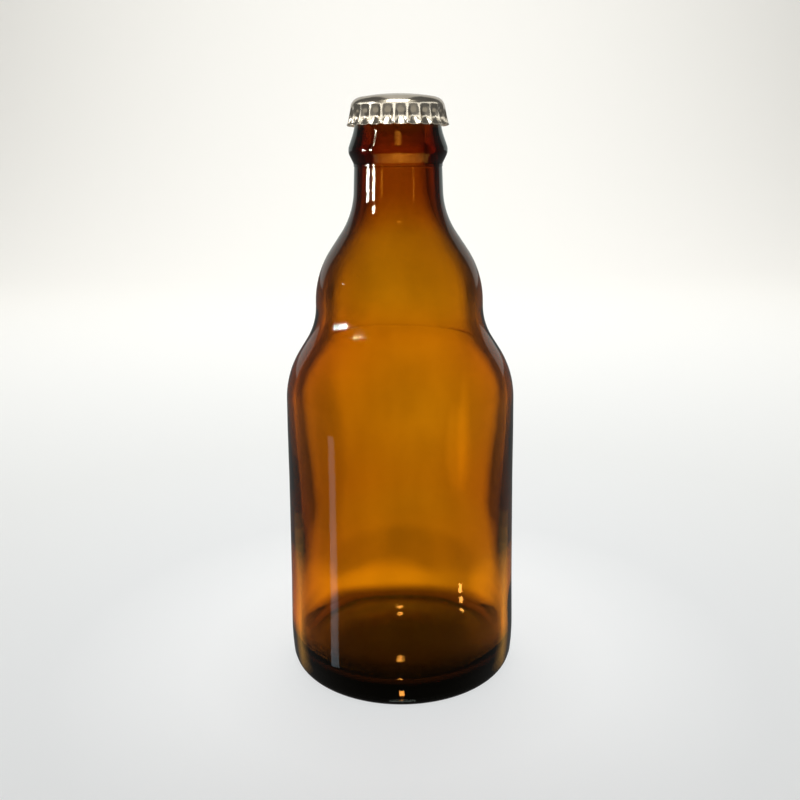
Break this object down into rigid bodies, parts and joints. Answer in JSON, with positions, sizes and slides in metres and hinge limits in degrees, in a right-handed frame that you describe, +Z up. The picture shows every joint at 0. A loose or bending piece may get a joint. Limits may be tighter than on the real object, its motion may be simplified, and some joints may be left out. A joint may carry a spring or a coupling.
{
  "type": "glass beer bottle",
  "caption": "Short, round-shouldered amber glass beer bottle, empty and unlabelled, with a bulged neck, a beaded finish and a plain fluted steel crown cap.",
  "frame": {"origin": "middle of the circle the bottle stands on", "axes": "+Z up along the bottle's axis, from the base to the cap; the bottle is round, so +X and +Y are any two directions at right angles"},
  "size_m": [0.0701, 0.07, 0.1752],
  "materials": {
    "amber_glass": "clear amber-brown container glass, fire-polished gloss",
    "cap_steel": "plain tin-plated sheet steel, satin"
  },
  "bodies": {
    "root": {"bottle": "amber_glass", "crown_cap": "cap_steel"}
  },
  "joints": []
}
